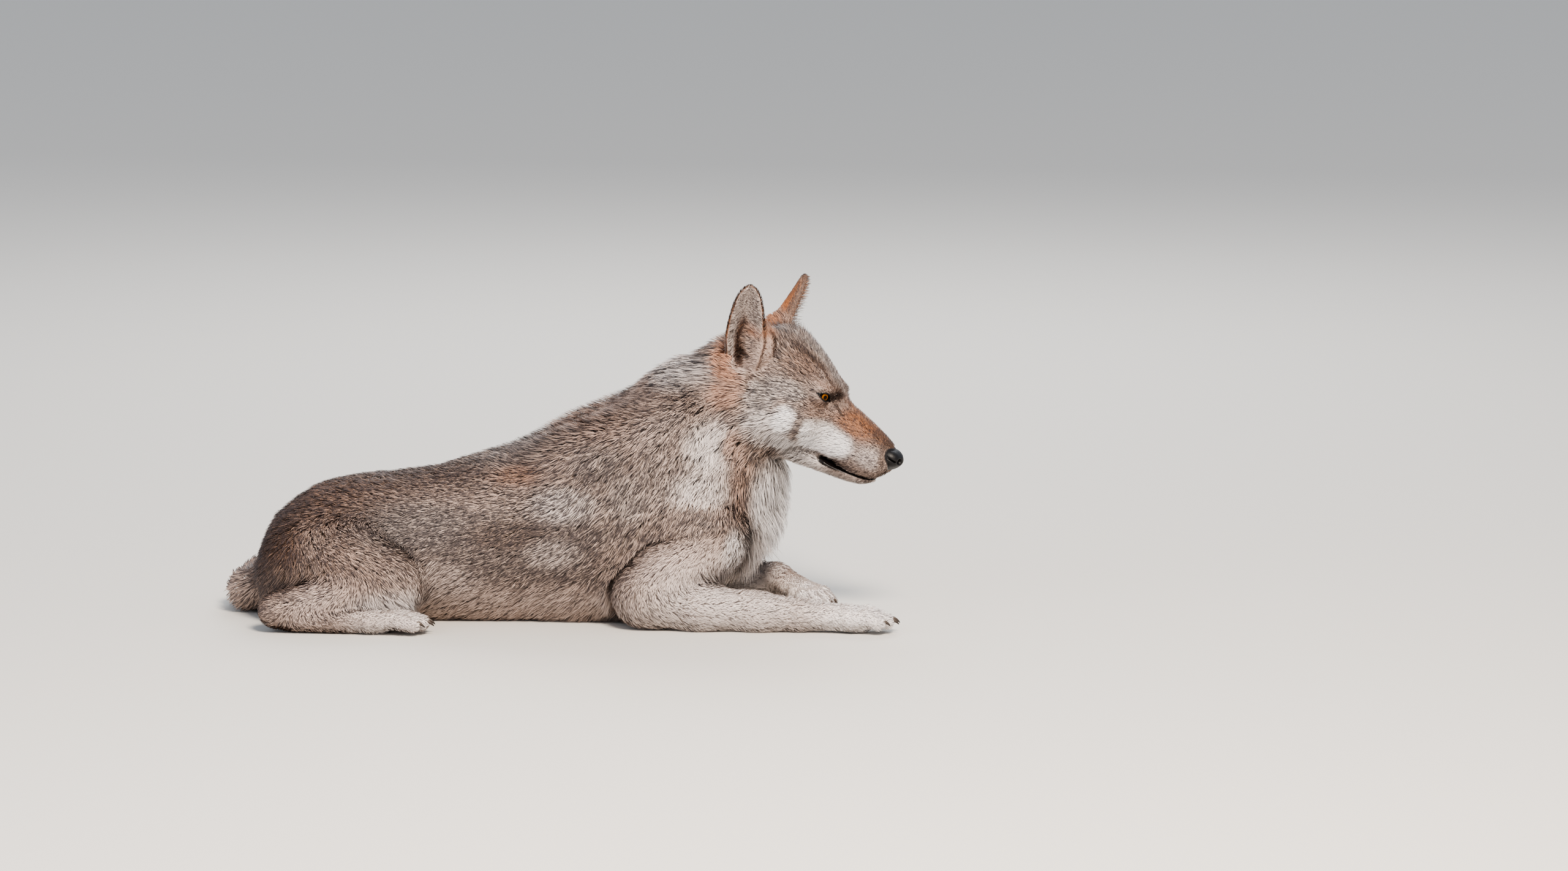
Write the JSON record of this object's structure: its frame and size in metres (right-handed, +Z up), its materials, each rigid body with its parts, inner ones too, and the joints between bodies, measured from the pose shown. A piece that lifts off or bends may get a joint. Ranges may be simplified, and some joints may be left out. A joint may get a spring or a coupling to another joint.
{
  "type": "grey wolf, lying",
  "caption": "Life-size still model of a grey wolf lying on its chest, head raised and turned a little to its right, tail curled round the far haunch.",
  "frame": {"origin": "on the floor under the middle of the chest, on the flat that the breastbone rests on", "axes": "+X towards the head, +Y to the wolf's left, +Z up"},
  "size_m": [0.9595, 0.4509, 0.481],
  "materials": {
    "back_coat": "grizzled dark guard hair over tan-grey underfur, matte",
    "head_coat": "grey-tan fur with dark tips, matte",
    "tan_coat": "short tan fur, matte",
    "pale_coat": "short cream fur, matte",
    "nose_leather": "moist pebbled black skin",
    "eyes": "amber iris under a clear wet cornea",
    "claws": "dark horn, lightly worn at the tips"
  },
  "bodies": {
    "root": {"forearm_right": "tan_coat", "upper_arm_right": "back_coat", "forepaw_right_claw_1": "claws", "forepaw_right_claw_2": "claws", "forepaw_right_claw_3": "claws", "forepaw_right_claw_4": "claws", "forepaw_right": "pale_coat", "forearm_left": "tan_coat", "upper_arm_left": "back_coat", "forepaw_left_claw_1": "claws", "forepaw_left_claw_2": "claws", "forepaw_left_claw_3": "claws", "forepaw_left_claw_4": "claws", "forepaw_left": "pale_coat", "hindpaw_right_claw_1": "claws", "hindpaw_right_claw_2": "claws", "hindpaw_right_claw_3": "claws", "hindpaw_right_claw_4": "claws", "hindpaw_right": "pale_coat", "shank_right": "tan_coat", "thigh_right": "back_coat", "hindpaw_left_claw_1": "claws", "hindpaw_left_claw_2": "claws", "hindpaw_left_claw_3": "claws", "hindpaw_left_claw_4": "claws", "hindpaw_left": "pale_coat", "shank_left": "tan_coat", "thigh_left": "back_coat", "chest": "back_coat", "loins": "back_coat", "rump": "back_coat", "neck": "head_coat", "tail_root": "back_coat", "tail_middle": "back_coat", "tail_tip": "back_coat", "ear_right": "tan_coat", "eye_right": "eyes", "ear_left": "tan_coat", "eye_left": "eyes", "head": "head_coat", "lower_jaw": "pale_coat", "nose": "nose_leather"}
  },
  "joints": []
}
